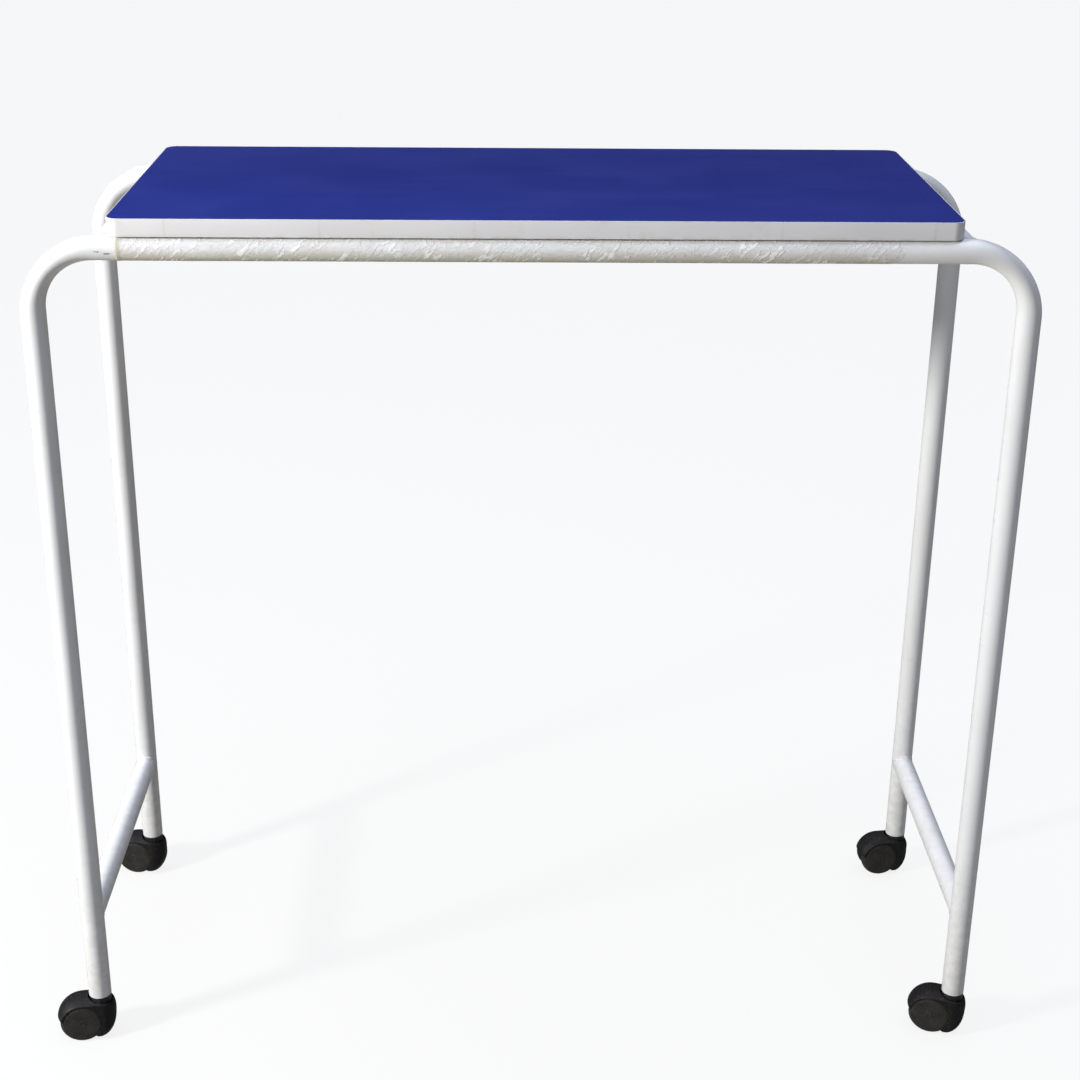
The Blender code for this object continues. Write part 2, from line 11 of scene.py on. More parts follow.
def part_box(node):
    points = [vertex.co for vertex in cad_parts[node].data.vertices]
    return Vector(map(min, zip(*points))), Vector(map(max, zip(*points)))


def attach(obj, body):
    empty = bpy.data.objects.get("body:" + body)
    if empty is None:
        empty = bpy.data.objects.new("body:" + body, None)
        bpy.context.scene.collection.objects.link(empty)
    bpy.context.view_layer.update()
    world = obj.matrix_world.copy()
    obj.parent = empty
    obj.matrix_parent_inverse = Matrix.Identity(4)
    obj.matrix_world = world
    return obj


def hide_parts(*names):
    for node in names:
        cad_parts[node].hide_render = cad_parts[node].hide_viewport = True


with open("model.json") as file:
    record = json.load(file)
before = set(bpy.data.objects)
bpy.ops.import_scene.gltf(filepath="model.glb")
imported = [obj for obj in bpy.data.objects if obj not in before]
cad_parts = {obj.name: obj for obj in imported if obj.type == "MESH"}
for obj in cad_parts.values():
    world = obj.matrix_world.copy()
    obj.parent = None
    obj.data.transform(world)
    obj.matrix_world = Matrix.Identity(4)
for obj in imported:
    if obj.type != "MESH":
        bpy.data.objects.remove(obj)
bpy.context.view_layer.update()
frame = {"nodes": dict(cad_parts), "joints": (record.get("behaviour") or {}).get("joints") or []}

MM = 0.001

# Read from the frame
CROSS_LOW, CROSS_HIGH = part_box("left_cross_tube")
FRONT_LOW, FRONT_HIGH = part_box("front_frame")
REAR_LOW, REAR_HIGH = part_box("rear_frame")
STRETCHER_LOW, STRETCHER_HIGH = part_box("left_stretcher")
BOARD_LOW, BOARD_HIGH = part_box("tabletop_edge_band")
CORE_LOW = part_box("tabletop_core")[0]
FILM_LOW, FILM_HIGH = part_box("front_rail_film")

TUBE_RADIUS = (CROSS_HIGH.z - CROSS_LOW.z) / 2
RAIL_HEIGHT = (CROSS_HIGH.z + CROSS_LOW.z) / 2
LEFT_LEG = FRONT_LOW.x + TUBE_RADIUS
RIGHT_LEG = FRONT_HIGH.x - TUBE_RADIUS
FRONT_LINE = (FRONT_LOW.y + FRONT_HIGH.y) / 2
REAR_LINE = (REAR_LOW.y + REAR_HIGH.y) / 2
LEG_END = FRONT_LOW.z
STRETCHER_HEIGHT = (STRETCHER_HIGH.z + STRETCHER_LOW.z) / 2

# Scuffs on the front rail beside the film: centre, and half size along each axis
SCUFFS = [
    ((FILM_LOW.x - 0.008, FRONT_LINE - 0.0125, RAIL_HEIGHT - 0.0035), (0.0045, 0.004, 0.0012)),
    ((FILM_LOW.x - 0.016, FRONT_LINE - 0.0125, RAIL_HEIGHT - 0.0015), (0.0035, 0.004, 0.0009)),
]

# Tubes
TUBE_WALL = 1.2 * MM
TUBE_SIDES = 64
BEND_RADIUS = 66 * MM
BEND_STEPS = 28
BEND_FLATTENING = 0.12
BEND_WIDENING = 0.03
LEG_STATIONS = (0.25, 0.5, 0.75)  # heights of the rings between a leg's end and its bend
ACCESS_HOLE_RADIUS = 4.5 * MM
CLEARANCE_HOLE_RADIUS = 2.4 * MM
COPE_GAP = 0.1 * MM
WELD_RADIUS = 1.7 * MM
WELD_RINGS = 150
WELD_SIDES = 14
WELD_RIPPLE = 1.5 * MM
WELD_LAP = 0.45 * MM
WELD_SINK = 0.985  # sets a bead slightly into the tube that it meets
WELD_FLATNESS = 0.7
WELD_RIPPLE_DEPTH = 0.10
WELD_UNEVENNESS = 0.28
SADDLE_STRETCH = 1.2  # length of a joint's saddle against a plain circle
SADDLE_THINNING = 0.85  # how much a bead loses where the saddle of its joint runs out

# Board
CORNER_RADIUS = 13 * MM
CORNER_STEPS = 16
EDGE_ROUNDING = 0.25 * MM
LAMINATE_ROUNDING = 0.2 * MM
BAND_GAP = 0.1 * MM

# Castor, in its own frame: the stem is the Z axis and the wheels trail to -X
WHEEL_RADIUS = 25 * MM
WHEEL_TRAIL = 22 * MM
WHEEL_INNER_FACE = 7.0 * MM
WHEEL_OUTER_FACE = 17.2 * MM
WHEEL_CLEARANCE = 0.5 * MM
HOOD_HALF_WIDTH = 16.6 * MM
HOOD_NOSE_RADIUS = 17.0 * MM
HOOD_WEB_HALF_WIDTH = 6.4 * MM
HOOD_WEB_RADIUS = 19 * MM
HOOD_CROWN = 0.17
HOOD_CROWN_POWER = 2.6
HOOD_REAR_LIP = Vector((-50, 0, 32)) * MM
HOOD_FRONT_LIP = Vector((4, 0, 1)) * MM
POCKET_RADIUS = 14.2 * MM
POCKET_FLOOR = 44.5 * MM
STEM_BORE_RADIUS = 4.4 * MM
STEM_BORE_BOTTOM = 26.5 * MM
AXLE_RADIUS = 3 * MM
AXLE_PLACE = Vector((-WHEEL_TRAIL, 0, WHEEL_RADIUS))
HOOD_AXLE_BORE = AXLE_RADIUS + 0.3 * MM
WHEEL_AXLE_BORE = AXLE_RADIUS + 0.2 * MM
CUTTER_REACH = 80 * MM  # longer than any part of a castor

# Hood outline seen from the side: angle about the axle in degrees from +X, and radius in millimetres
HOOD_OUTLINE = [
    (-52, 29.0),
    (-40, 34.0),
    (-27, 36.2),
    (-10, 37.4),
    (6, 38.6),
    (21, 41.0),
    (31, 42.0),
    (42, 40.2),
    (54, 35.8),
    (66, 31.8),
    (80, 29.5),
    (100, 28.9),
    (240, 28.9),
]

# Shoulder of a wheel from its face to its tread: radius and distance from the middle plane, in millimetres
WHEEL_SHOULDER = [
    (21.4, 16.0),
    (22.6, 15.1),
    (23.4, 14.4),
    (24.0, 13.6),
    (24.5, 12.7),
    (24.8, 11.8),
    (24.95, 10.9),
    (25.0, 10.0),
    (25.0, 8.0),
]

# Camera and light
CAMERA_PLACE = Vector((-0.0129, -1.9704, 1.3729))
CAMERA_LENS = 62.08
CAMERA_PITCH = math.radians(22.63)
CAMERA_YAW = math.radians(1.18)
CAMERA_ROLL = math.radians(0.55)
KEY_PLACE = (-2.55, -1.32, 1.62)
KEY_SIZE = 0.4
KEY_POWER = 108
FILL_PLACE = (-0.9, -4.0, 1.15)
FILL_SIZE = 2.0
FILL_POWER = 9
SKY_BANDS = [
    (-0.85, (0.50, 0.475, 0.42, 1)),
    (-0.45, (0.22, 0.21, 0.185, 1)),
    (0.00, (0.050, 0.057, 0.082, 1)),
    (0.70, (0.06, 0.065, 0.08, 1)),
    (0.92, (1.93, 2.04, 2.34, 1)),
]
FLOOR_RADIUS = 20.0
COVE_RADIUS = 6.0
COVE_STEPS = 12
WALL_HEIGHT = 30.0
WALL_SIDES = 96


# ---------------------------------------------------------------- materials


class Finish:
    """A procedural material, built node by node round a Principled shader."""

    def __init__(self, name, **fixed):
        self.material = bpy.data.materials.new(name)
        self.material.use_nodes = True
        self.tree = self.material.node_tree
        self.shader = self.tree.nodes["Principled BSDF"]
        for socket, value in fixed.items():
            self.shader.inputs[socket.replace("_", " ")].default_value = value
        coordinates = self.node("ShaderNodeTexCoord").outputs["Object"]
        seed = self.node("ShaderNodeObjectInfo").outputs["Random"]
        self.place = coordinates
        self.shifted = self.vector_math("ADD", coordinates, seed)

    def node(self, kind, inputs=None, **settings):
        made = self.tree.nodes.new(kind)
        for key, value in settings.items():
            setattr(made, key, value)
        for key, value in (inputs or {}).items():
            if isinstance(value, bpy.types.NodeSocket):
                self.tree.links.new(value, made.inputs[key])
            else:
                made.inputs[key].default_value = value
        return made

    def noise(self, scale, detail=2.0, stretch=(1, 1, 1), roughness=0.5, turn=(0, 0, 0)):
        turned = self.node("ShaderNodeMapping", {"Vector": self.shifted, "Rotation": turn})
        mapped = self.node("ShaderNodeMapping", {"Vector": turned.outputs[0], "Scale": stretch})
        pattern = {"Vector": mapped.outputs[0], "Scale": scale, "Detail": detail, "Roughness": roughness}
        return self.node("ShaderNodeTexNoise", pattern).outputs["Fac"]

    def span(self, value, low, high, to_low=0.0, to_high=1.0):
        limits = {0: value, 1: low, 2: high, 3: to_low, 4: to_high}
        return self.node("ShaderNodeMapRange", limits, clamp=True).outputs[0]

    def math(self, operation, first, second=0.0):
        return self.node("ShaderNodeMath", {0: first, 1: second}, operation=operation).outputs[0]

    def vector_math(self, operation, first, second=None, output=0):
        inputs = {0: first} if second is None else {0: first, 1: second}
        return self.node("ShaderNodeVectorMath", inputs, operation=operation).outputs[output]

    def axis(self, name):
        return self.node("ShaderNodeSeparateXYZ", {0: self.place}).outputs[name]

    def mix(self, share, first, second):
        """A colour between two colours or colour sockets."""
        made = self.tree.nodes.new("ShaderNodeMix")
        made.data_type = "RGBA"
        for key, value in ((0, share), (6, first), (7, second)):
            if isinstance(value, bpy.types.NodeSocket):
                self.tree.links.new(value, made.inputs[key])
            else:
                made.inputs[key].default_value = (*value, 1.0) if isinstance(value, tuple) else value
        return made.outputs[2]

    def bump(self, height, distance, strength=1.0, below=None):
        inputs = {"Height": height, "Distance": distance, "Strength": strength}
        if below:
            inputs["Normal"] = below
        return self.node("ShaderNodeBump", inputs).outputs[0]

    def connect(self, **sockets):
        for name, socket in sockets.items():
            self.tree.links.new(socket, self.shader.inputs[name.replace("_", " ")])
        return self.material


def powder_coat(name, chips=()):
    """White powder coat: orange peel, uneven whiteness, dust low on the legs and a few chips."""
    finish = Finish(name, IOR=1.5)
    patches = finish.noise(9, 4)
    colour = finish.mix(finish.span(patches, 0.35, 0.7), (0.86, 0.87, 0.885), (0.80, 0.81, 0.815))
    streaks = finish.noise(38, 5, stretch=(1, 1, 0.14), roughness=0.65)
    colour = finish.mix(finish.span(streaks, 0.56, 0.8, 0, 0.35), colour, (0.66, 0.64, 0.60))
    low = finish.span(finish.axis("Z"), 0.05, 0.30, 0.5, 0.0)
    dust = finish.math("MULTIPLY", low, finish.span(finish.noise(120, 5), 0.35, 0.75))
    colour = finish.mix(dust, colour, (0.52, 0.47, 0.40))
    specks = finish.span(finish.noise(420, 2), 0.74, 0.80, 0, 0.6)
    colour = finish.mix(specks, colour, (0.38, 0.34, 0.29))
    for centre, size in chips:
        away = finish.vector_math("SUBTRACT", finish.place, centre)
        scaled = finish.vector_math("DIVIDE", away, size)
        reach = finish.vector_math("LENGTH", scaled, output="Value")
        ragged = finish.math("ADD", reach, finish.span(finish.noise(700, 3), 0.3, 0.7, -0.6, 0.6))
        colour = finish.mix(finish.span(ragged, 0.55, 0.95, 0.9, 0.0), colour, (0.10, 0.10, 0.12))
    peel = finish.bump(finish.noise(650, 2), 0.03 * MM, 0.55)
    waves = finish.bump(finish.noise(55, 2), 0.10 * MM, 0.5, below=peel)
    rough = finish.span(finish.noise(30, 4), 0.3, 0.7, 0.26, 0.42)
    return finish.connect(Base_Color=colour, Roughness=rough, Normal=waves)


def laminate():
    """Dark blue satin laminate with faint long streaks, fine grain and dust."""
    finish = Finish("blue_laminate", IOR=1.40)
    clouds = finish.noise(5, 5, stretch=(0.35, 1, 1))
    colour = finish.mix(finish.span(clouds, 0.35, 0.68), (0.008, 0.019, 0.207), (0.011, 0.025, 0.233))
    streaks = finish.noise(60, 6, stretch=(0.10, 1, 1), roughness=0.6)
    colour = finish.mix(finish.span(streaks, 0.5, 0.75, 0, 0.45), colour, (0.015, 0.030, 0.245))
    grain = finish.noise(1500, 2)
    colour = finish.mix(finish.span(grain, 0.55, 0.8, 0, 0.3), colour, (0.022, 0.040, 0.27))
    dust = finish.span(finish.noise(260, 3), 0.68, 0.80, 0, 0.22)
    colour = finish.mix(dust, colour, (0.06, 0.08, 0.28))
    fine = finish.bump(grain, 0.02 * MM, 0.6)
    warp = finish.bump(finish.noise(16, 2), 0.3 * MM, 0.25, below=fine)
    rough = finish.span(finish.noise(12, 5), 0.3, 0.7, 0.36, 0.52)
    return finish.connect(Base_Color=colour, Roughness=rough, Normal=warp)


def edge_band():
    """Satin white plastic band with faint upright marks, smudges and grime along its lower edge."""
    finish = Finish("white_edge_band", IOR=1.46)
    clouds = finish.noise(14, 4, stretch=(0.6, 0.6, 2))
    colour = finish.mix(finish.span(clouds, 0.3, 0.7), (0.79, 0.79, 0.80), (0.73, 0.73, 0.74))
    smudge = finish.noise(46, 5, roughness=0.6)
    colour = finish.mix(finish.span(smudge, 0.60, 0.78, 0, 0.4), colour, (0.60, 0.56, 0.48))
    every = finish.math("PINGPONG", finish.math("ADD", finish.axis("X"), 0.043), 0.075)
    mark = finish.span(every, 0.0, 0.0022, 0.38, 0.0)
    mark = finish.math("MULTIPLY", mark, finish.span(finish.noise(180, 3), 0.35, 0.65))
    colour = finish.mix(mark, colour, (0.52, 0.50, 0.46))
    height = finish.span(finish.axis("Z"), BOARD_LOW.z, BOARD_LOW.z + 3.5 * MM, 0.5, 0.0)
    grime = finish.math("MULTIPLY", height, finish.span(finish.noise(70, 4), 0.40, 0.70))
    colour = finish.mix(grime, colour, (0.50, 0.45, 0.37))
    fine = finish.bump(finish.noise(500, 2, stretch=(0.25, 0.25, 1)), 0.03 * MM, 0.5)
    waves = finish.bump(finish.noise(35, 2), 0.15 * MM, 0.5, below=fine)
    rough = finish.span(finish.noise(60, 3), 0.3, 0.7, 0.34, 0.52)
    return finish.connect(Base_Color=colour, Roughness=rough, Normal=waves)


def particle_board():
    """Pressed chips, seen only where the board is taken apart."""
    finish = Finish("particle_board", Roughness=0.9)
    chips = finish.node("ShaderNodeTexVoronoi", {"Vector": finish.shifted, "Scale": 420})
    tone = finish.span(chips.outputs["Distance"], 0.1, 0.7)
    colour = finish.mix(tone, (0.42, 0.29, 0.16), (0.60, 0.45, 0.28))
    return finish.connect(Base_Color=colour, Normal=finish.bump(tone, 0.3 * MM))


def backing_sheet():
    """Off-white balancing sheet under the board, with a paper-like grain."""
    finish = Finish("board_backing", IOR=1.45)
    grain = finish.noise(700, 4)
    clouds = finish.noise(8, 4)
    colour = finish.mix(finish.span(clouds, 0.3, 0.7), (0.62, 0.61, 0.58), (0.70, 0.69, 0.66))
    colour = finish.mix(finish.span(grain, 0.5, 0.8, 0, 0.5), colour, (0.50, 0.48, 0.44))
    rough = finish.span(clouds, 0.3, 0.7, 0.5, 0.68)
    return finish.connect(Base_Color=colour, Roughness=rough, Normal=finish.bump(grain, 0.05 * MM, 0.6))


def packing_film():
    """Clear film: nearly unseen where smooth, with painted white glints (a painted highlight) on its
    creases, creamy underneath.
    """
    finish = Finish("packing_film", IOR=1.5)
    along = finish.axis("X")
    patches = finish.span(finish.noise(24, 3, stretch=(1, 0.6, 0.6)), 0.40, 0.54)
    crease = finish.noise(290, 3, stretch=(1, 0.5, 0.28), turn=(0, -0.85, 0), roughness=0.5)
    crests = finish.span(crease, 0.53, 0.60)
    # Painted highlight: in patches, the crease crests are made white and more opaque to stand for glints.
    painted_glint = finish.math("MULTIPLY", crests, patches)
    cloud = finish.noise(26, 3)
    low = finish.span(finish.axis("Z"), RAIL_HEIGHT - TUBE_RADIUS, RAIL_HEIGHT + 2 * MM, 1.0, 0.0)
    colour = finish.mix(finish.span(cloud, 0.3, 0.7), (0.93, 0.93, 0.935), (0.89, 0.87, 0.82))
    colour = finish.mix(finish.math("MULTIPLY", low, 0.8), colour, (0.86, 0.80, 0.62))
    colour = finish.mix(painted_glint, colour, (1.0, 1.0, 1.0))
    left_end = finish.span(along, FILM_LOW.x + 1 * MM, FILM_LOW.x + 9 * MM, 0.7, 0.0)
    colour = finish.mix(left_end, colour, (0.78, 0.73, 0.56))
    cover = finish.span(cloud, 0.35, 0.7, 0.08, 0.24)
    cover = finish.math("ADD", cover, finish.math("MULTIPLY", painted_glint, 0.85))
    cover = finish.math("ADD", cover, finish.math("MULTIPLY", low, 0.32))
    cover = finish.math("ADD", cover, finish.math("MULTIPLY", left_end, 0.4))
    wander = finish.span(finish.noise(60, 4), 0.3, 0.7, -18 * MM, 18 * MM)
    ragged_end = finish.math("ADD", along, wander)
    fade = finish.span(ragged_end, FILM_HIGH.x - 50 * MM, FILM_HIGH.x - 20 * MM, 1.0, 0.0)
    cover = finish.math("MULTIPLY", cover, fade)
    fine = finish.bump(painted_glint, 0.4 * MM, 0.35)
    rough = finish.span(cloud, 0.3, 0.7, 0.10, 0.22)
    return finish.connect(Base_Color=colour, Alpha=cover, Normal=fine, Roughness=rough)


def zinc_steel():
    """Bright zinc on turned steel, with fine lathe rings and faint dulling."""
    finish = Finish("zinc_plated_steel", Metallic=1.0)
    rings = finish.noise(300, 3, stretch=(0.1, 0.1, 9))
    dull = finish.noise(140, 4)
    colour = finish.mix(finish.span(dull, 0.35, 0.7), (0.62, 0.62, 0.63), (0.48, 0.48, 0.47))
    rough = finish.span(dull, 0.3, 0.7, 0.24, 0.46)
    return finish.connect(Base_Color=colour, Roughness=rough, Normal=finish.bump(rings, 0.03 * MM, 0.6))


def black_nylon(name, dark, pale, grain_scale, dust_share, rough_range):
    """Moulded black nylon: spark-eroded grain, faint flow marks and a little dust."""
    finish = Finish(name, IOR=1.33)
    flow = finish.noise(90, 4, stretch=(1, 1, 0.5))
    colour = finish.mix(finish.span(flow, 0.3, 0.75), dark, pale)
    dust = finish.span(finish.noise(420, 4, roughness=0.7), 0.52, 0.78, 0, dust_share)
    colour = finish.mix(dust, colour, (0.16, 0.15, 0.135))
    grain = finish.bump(finish.noise(grain_scale, 2), 0.05 * MM, 0.6)
    waves = finish.bump(finish.noise(130, 2), 0.12 * MM, 0.5, below=grain)
    rough = finish.span(finish.noise(200, 3), 0.3, 0.7, *rough_range)
    return finish.connect(Base_Color=colour, Roughness=rough, Normal=waves)


# ---------------------------------------------------------------- mesh helpers


def new_piece(name, work, material, smooth_angle=35):
    mesh = bpy.data.meshes.new(name)
    work.to_mesh(mesh)
    work.free()
    obj = bpy.data.objects.new(name, mesh)
    bpy.context.scene.collection.objects.link(obj)
    if material:
        mesh.materials.append(material)
    mesh.shade_smooth()
    mesh.set_sharp_from_angle(angle=math.radians(smooth_angle))
    return obj


def skin(work, rings, loop=False):
    """Faces between closed rings of points; loop also joins the last ring to the first."""
    made = [[work.verts.new(point) for point in ring] for ring in rings]
    pairs = list(zip(made, made[1:]))
    if loop:
        pairs.append((made[-1], made[0]))
    for ring, following in pairs:
        count = len(ring)
        for i in range(count):
            j = (i + 1) % count
            work.faces.new((ring[i], ring[j], following[j], following[i]))
    return made


def circle(radius, count):
    steps = [2 * math.pi * i / count for i in range(count)]
    return [(radius * math.cos(a), radius * math.sin(a)) for a in steps]


def evaluated_mesh(obj, name):
    bpy.context.view_layer.update()
    graph = bpy.context.evaluated_depsgraph_get()
    mesh = bpy.data.meshes.new_from_object(obj.evaluated_get(graph))
    mesh.name = name
    return mesh


def boolean(obj, other, operation="DIFFERENCE"):
    cut = obj.modifiers.new(other.name, "BOOLEAN")
    cut.operation = operation
    cut.object = other
    cut.solver = "EXACT"


def apply_and_drop(obj, cutters):
    """Makes the modifiers permanent and removes the helpers."""
    mesh = evaluated_mesh(obj, obj.data.name)
    obj.modifiers.clear()
    obj.data = mesh
    for cutter in cutters:
        bpy.data.objects.remove(cutter, do_unlink=True)


def cylinder(name, radius, length, centre, axis="Z", steps=64):
    turn = {
        "X": Matrix.Rotation(math.pi / 2, 4, "Y"),
        "Y": Matrix.Rotation(math.pi / 2, 4, "X"),
        "Z": Matrix(),
    }
    work = bmesh.new()
    placed = Matrix.Translation(centre) @ turn[axis]
    bmesh.ops.create_cone(
        work,
        cap_ends=True,
        segments=steps,
        radius1=radius,
        radius2=radius,
        depth=length,
        matrix=placed,
    )
    return new_piece(name, work, None)


# ---------------------------------------------------------------- tube frames


def frame_rings(y, radius):
    """Rings of an inverted U of tube. Each bend squeezes the tube in its own plane."""
    rings = []
    section = circle(radius, TUBE_SIDES)

    def ring(x, z, along, squeeze=0.0):
        across = Vector((math.cos(along), 0, math.sin(along)))
        centre = Vector((x, y, z))
        points = []
        for u, v in section:
            flat = u * (1 - BEND_FLATTENING * squeeze)
            points.append(centre + across * flat + Vector((0, v * (1 + BEND_WIDENING * squeeze), 0)))
        return points

    left = LEFT_LEG + BEND_RADIUS
    right = RIGHT_LEG - BEND_RADIUS
    centre_z = RAIL_HEIGHT - BEND_RADIUS
    straight_z = [LEG_END, LEG_END + 2 * MM, *LEG_STATIONS]
    for z in straight_z:
        rings.append(ring(LEFT_LEG, z, math.pi))
    for centre_x, start in ((left, math.pi), (right, math.pi / 2)):
        for step in range(BEND_STEPS + 1):
            angle = start - math.pi / 2 * step / BEND_STEPS
            squeeze = math.sin(math.pi * step / BEND_STEPS)
            x = centre_x + BEND_RADIUS * math.cos(angle)
            z = centre_z + BEND_RADIUS * math.sin(angle)
            rings.append(ring(x, z, angle, squeeze))
    for z in reversed(straight_z):
        rings.append(ring(RIGHT_LEG, z, 0.0))
    return rings


def build_frame(name, y, material):
    """A U frame with its wall, the screw holes drilled through the rail, ready to ride."""
    work = bmesh.new()
    outside = frame_rings(y, TUBE_RADIUS)
    inside = frame_rings(y, TUBE_RADIUS - TUBE_WALL)
    skin(work, outside + inside[::-1], loop=True)
    bmesh.ops.recalc_face_normals(work, faces=work.faces)
    obj = new_piece(name + "_tube", work, material)
    cutters = []
    for side in ("left", "right"):
        low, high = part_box(f"{name.split('_')[0]}_{side}_board_screw")
        x = (low.x + high.x) / 2
        under = Vector((x, y, RAIL_HEIGHT - TUBE_RADIUS))
        over = Vector((x, y, RAIL_HEIGHT + TUBE_RADIUS))
        cutters.append(cylinder("access_hole", ACCESS_HOLE_RADIUS, TUBE_RADIUS, under, steps=40))
        cutters.append(cylinder("clearance_hole", CLEARANCE_HOLE_RADIUS, TUBE_RADIUS, over, steps=24))
    for cutter in cutters:
        boolean(obj, cutter)
    apply_and_drop(obj, cutters)
    obj.data.shade_smooth()
    obj.data.set_sharp_from_angle(angle=math.radians(35))
    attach(obj, "root")
    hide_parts(name)


def coped_ring(x, z, end_y, sign, radius, upright):
    """One end of a tube along Y, shaped to a tube of the same size that it meets at end_y."""
    points = []
    reach = TUBE_RADIUS + COPE_GAP
    for u, v in circle(radius, TUBE_SIDES):
        across = u if upright else v
        back = math.sqrt(max(reach**2 - across**2, 0.0))
        points.append(Vector((x + u, end_y - sign * back, z + v)))
    return points


def build_joining_tube(name, z, upright, material):
    """A tube between the two frames, coped at both ends; upright means that it meets legs and not rails."""
    low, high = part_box(name)
    x = (low.x + high.x) / 2
    shells = []
    for radius in (TUBE_RADIUS, TUBE_RADIUS - TUBE_WALL):
        start = coped_ring(x, z, FRONT_LINE, -1, radius, upright)
        finish = coped_ring(x, z, REAR_LINE, 1, radius, upright)
        middle = [[a.lerp(b, share) for a, b in zip(start, finish)] for share in (0.25, 0.5, 0.75)]
        shells.append([start, *middle, finish])
    work = bmesh.new()
    skin(work, shells[0] + shells[1][::-1], loop=True)
    bmesh.ops.recalc_face_normals(work, faces=work.faces)
    obj = new_piece(name + "_smooth", work, material)
    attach(obj, "root")
    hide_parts(name)
    return x


def weld_bead(name, x, z, end_y, sign, upright, material):
    """A rippled bead round the joint between a coped end and the tube that it meets."""
    rings = []
    lap = TUBE_RADIUS + WELD_LAP
    length = 2 * math.pi * TUBE_RADIUS * SADDLE_STRETCH
    ripples = round(length / WELD_RIPPLE)
    for i in range(WELD_RINGS):
        angle = 2 * math.pi * i / WELD_RINGS
        u = lap * math.cos(angle)
        v = lap * math.sin(angle)
        across = u if upright else v
        back = math.sqrt(max(lap**2 - across**2, 0.0)) * WELD_SINK
        centre = Vector((x + u, end_y - sign * back, z + v))
        out = Vector((math.cos(angle), 0, math.sin(angle)))
        wander = noise.noise(Vector((x * 40 + math.cos(angle) * 2, end_y * 40, math.sin(angle) * 2)))
        thinning = 1 - SADDLE_THINNING * (abs(across) / lap) ** 4
        ripple = WELD_RIPPLE_DEPTH * math.cos(ripples * angle)
        size = WELD_RADIUS * thinning * (1 + ripple + WELD_UNEVENNESS * wander)
        points = []
        for step in range(WELD_SIDES):
            turn = 2 * math.pi * step / WELD_SIDES
            along = Vector((0, size * math.sin(turn), 0))
            points.append(centre + out * size * WELD_FLATNESS * math.cos(turn) + along)
        rings.append(points)
    work = bmesh.new()
    skin(work, rings, loop=True)
    bmesh.ops.recalc_face_normals(work, faces=work.faces)
    obj = new_piece(name, work, material, smooth_angle=80)
    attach(obj, "root")


def build_structure(plain_coat, chipped_coat):
    build_frame("front_frame", FRONT_LINE, chipped_coat)
    build_frame("rear_frame", REAR_LINE, plain_coat)
    tubes = [
        ("left_stretcher", STRETCHER_HEIGHT, True),
        ("right_stretcher", STRETCHER_HEIGHT, True),
        ("left_cross_tube", RAIL_HEIGHT, False),
        ("right_cross_tube", RAIL_HEIGHT, False),
    ]
    for name, z, upright in tubes:
        x = build_joining_tube(name, z, upright, plain_coat)
        weld_bead(f"{name}_front_weld", x, z, FRONT_LINE, -1, upright, plain_coat)
        weld_bead(f"{name}_rear_weld", x, z, REAR_LINE, 1, upright, plain_coat)


# ---------------------------------------------------------------- board


def rounded_outline(low, high, radius, inset=0.0):
    """A rounded rectangle in plan, as points that run round it."""
    points = []
    corners = [
        (high.x, high.y, 1, 1),
        (low.x, high.y, -1, 1),
        (low.x, low.y, -1, -1),
        (high.x, low.y, 1, -1),
    ]
    for quarter, (x, y, side_x, side_y) in enumerate(corners):
        centre = Vector((x - side_x * radius, y - side_y * radius))
        for step in range(CORNER_STEPS + 1):
            angle = math.radians(90 * (quarter + step / CORNER_STEPS))
            points.append(centre + (radius - inset) * Vector((math.cos(angle), math.sin(angle))))
    return points


def rounded_plate(name, node, radius, rounding, material):
    """A plate with softened rims that fills a CAD node's box."""
    low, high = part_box(node)
    rings = []
    for z, sign in ((low.z, 1), (high.z, -1)):
        edge = []
        for step in range(5):
            angle = math.pi / 2 * step / 4
            inset = rounding * (1 - math.sin(angle))
            lift = rounding * (1 - math.cos(angle))
            edge.append([(p.x, p.y, z + sign * lift) for p in rounded_outline(low, high, radius, inset)])
        rings += edge if sign > 0 else edge[::-1]
    work = bmesh.new()
    made = skin(work, rings)
    work.faces.new(made[0])
    work.faces.new(made[-1])
    bmesh.ops.recalc_face_normals(work, faces=work.faces)
    obj = new_piece(name, work, material, smooth_angle=50)
    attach(obj, "root")
    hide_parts(node)
    return obj


def build_edge_band(material):
    """The band round the board, with softened outer rims."""
    thickness = CORE_LOW.x - BOARD_LOW.x - BAND_GAP
    rings = []
    for z, sign in ((BOARD_LOW.z, 1), (BOARD_HIGH.z, -1)):
        edge = [[(p.x, p.y, z) for p in rounded_outline(BOARD_LOW, BOARD_HIGH, CORNER_RADIUS, thickness)]]
        for step in range(6):
            angle = math.pi / 2 * step / 5
            inset = EDGE_ROUNDING * (1 - math.sin(angle))
            lift = EDGE_ROUNDING * (1 - math.cos(angle))
            outline = rounded_outline(BOARD_LOW, BOARD_HIGH, CORNER_RADIUS, inset)
            edge.append([(p.x, p.y, z + sign * lift) for p in outline])
        rings += edge if sign > 0 else edge[::-1]
    work = bmesh.new()
    skin(work, rings, loop=True)
    bmesh.ops.recalc_face_normals(work, faces=work.faces)
    obj = new_piece("edge_band_smooth", work, material, smooth_angle=50)
    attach(obj, "root")
    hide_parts("tabletop_edge_band")


def build_board():
    inner_radius = CORNER_RADIUS - (CORE_LOW.x - BOARD_LOW.x)
    build_edge_band(edge_band())
    blue = laminate()
    top = rounded_plate("laminate_smooth", "tabletop_laminate", inner_radius, LAMINATE_ROUNDING, blue)
    for node, material in (("tabletop_core", particle_board()), ("tabletop_backing", backing_sheet())):
        frame["nodes"][node].data.materials.clear()
        frame["nodes"][node].data.materials.append(material)


# ---------------------------------------------------------------- film


